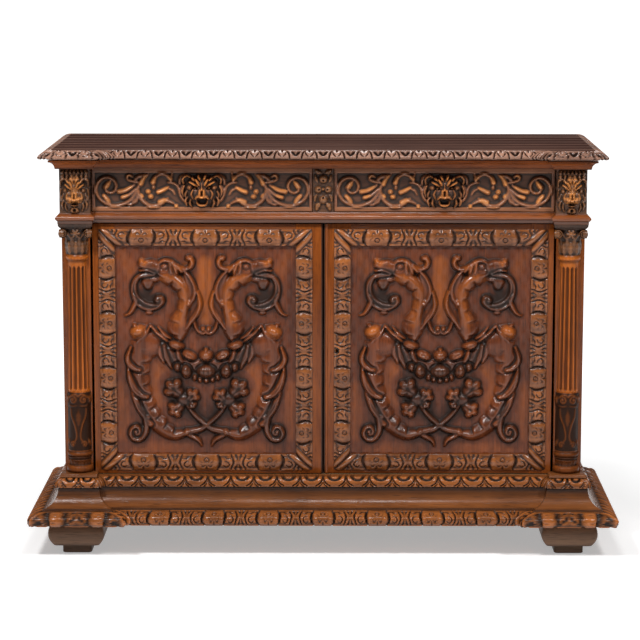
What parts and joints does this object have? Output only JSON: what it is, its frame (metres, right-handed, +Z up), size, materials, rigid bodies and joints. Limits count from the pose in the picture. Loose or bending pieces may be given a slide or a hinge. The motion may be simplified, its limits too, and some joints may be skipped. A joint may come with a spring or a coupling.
{
  "type": "side cabinet",
  "caption": "Carved wooden side cabinet on block feet, with hinged panelled doors between half columns, drawers in the frieze pulled by lion masks, and a moulded plinth and top.",
  "frame": {"origin": "middle of the cabinet's outline on the floor", "axes": "+X to the right seen from the front, -Y out of the front, +Z up"},
  "size_m": [1.45, 0.55, 1],
  "materials": {
    "carved_wood": "waxed, worn on high spots",
    "inner_wood": "raw, aged",
    "iron": "dark forged",
    "brass": "dull"
  },
  "bodies": {
    "case": {"foot_front_left": "carved_wood", "foot_rear_left": "carved_wood", "foot_front_right": "carved_wood", "foot_rear_right": "carved_wood", "plinth_front": "carved_wood", "plinth_left": "carved_wood", "plinth_right": "carved_wood", "plinth_back": "inner_wood", "base_moulding": "carved_wood", "pedestal_blocks": "carved_wood", "post_left": "carved_wood", "rear_post_left": "inner_wood", "side_rails_left": "carved_wood", "side_panel_left": "carved_wood", "post_right": "carved_wood", "rear_post_right": "inner_wood", "side_rails_right": "carved_wood", "side_panel_right": "carved_wood", "back_boards": "inner_wood", "cupboard_floor": "inner_wood", "shelf": "inner_wood", "shelf_battens": "inner_wood", "drawer_rail": "carved_wood", "waist_moulding": "carved_wood", "drawer_runners": "inner_wood", "drawer_divider": "carved_wood", "frieze_block_left": "carved_wood", "frieze_block_right": "carved_wood", "top_rail": "carved_wood", "cornice": "carved_wood", "top_board": "carved_wood", "column_left": "carved_wood", "column_right": "carved_wood", "capital_left": "carved_wood", "capital_right": "carved_wood", "door_pivots": "brass"},
    "door_left": {"door_left_rails": "carved_wood", "door_left_hinge_stile": "carved_wood", "door_left_meeting_stile": "carved_wood", "door_left_panel": "carved_wood", "door_left_band": "carved_wood", "lock_strike": "iron", "leaf_bolt_keepers": "iron"},
    "door_right": {"door_right_rails": "carved_wood", "door_right_hinge_stile": "carved_wood", "door_right_meeting_stile": "carved_wood", "door_right_panel": "carved_wood", "door_right_band": "carved_wood", "lock_case": "iron"},
    "drawer_left": {"drawer_left_front": "carved_wood", "drawer_left_box": "inner_wood", "drawer_left_bottom": "inner_wood", "drawer_left_mask": "carved_wood"},
    "drawer_right": {"drawer_right_front": "carved_wood", "drawer_right_box": "inner_wood", "drawer_right_bottom": "inner_wood", "drawer_right_mask": "carved_wood"},
    "lock_bolt": {"lock_bolt": "iron"},
    "leaf_bolt_head": {"leaf_bolt_head": "iron"},
    "leaf_bolt_foot": {"leaf_bolt_foot": "iron"}
  },
  "joints": [
    {"name": "door_left_hinge", "type": "hinge", "parent": "case", "child": "door_left", "pos_m": [-0.549, -0.146, 0.5], "axis": [0, 0, -1], "range_deg": [0, 78]},
    {"name": "door_right_hinge", "type": "hinge", "parent": "case", "child": "door_right", "pos_m": [0.549, -0.142, 0.5], "axis": [0, 0, 1], "range_deg": [0, 78]},
    {"name": "drawer_left_slide", "type": "slide", "parent": "case", "child": "drawer_left", "axis": [0, -1, 0], "range_m": [0, 0.3]},
    {"name": "drawer_right_slide", "type": "slide", "parent": "case", "child": "drawer_right", "axis": [0, -1, 0], "range_m": [0, 0.3]},
    {"name": "lock_bolt_slide", "type": "slide", "parent": "door_right", "child": "lock_bolt", "axis": [-1, 0, 0], "range_m": [0, 0.012]},
    {"name": "leaf_bolt_head_slide", "type": "slide", "parent": "door_left", "child": "leaf_bolt_head", "axis": [0, 0, 1], "range_m": [0, 0.014]},
    {"name": "leaf_bolt_foot_slide", "type": "slide", "parent": "door_left", "child": "leaf_bolt_foot", "axis": [0, 0, -1], "range_m": [0, 0.014]}
  ]
}
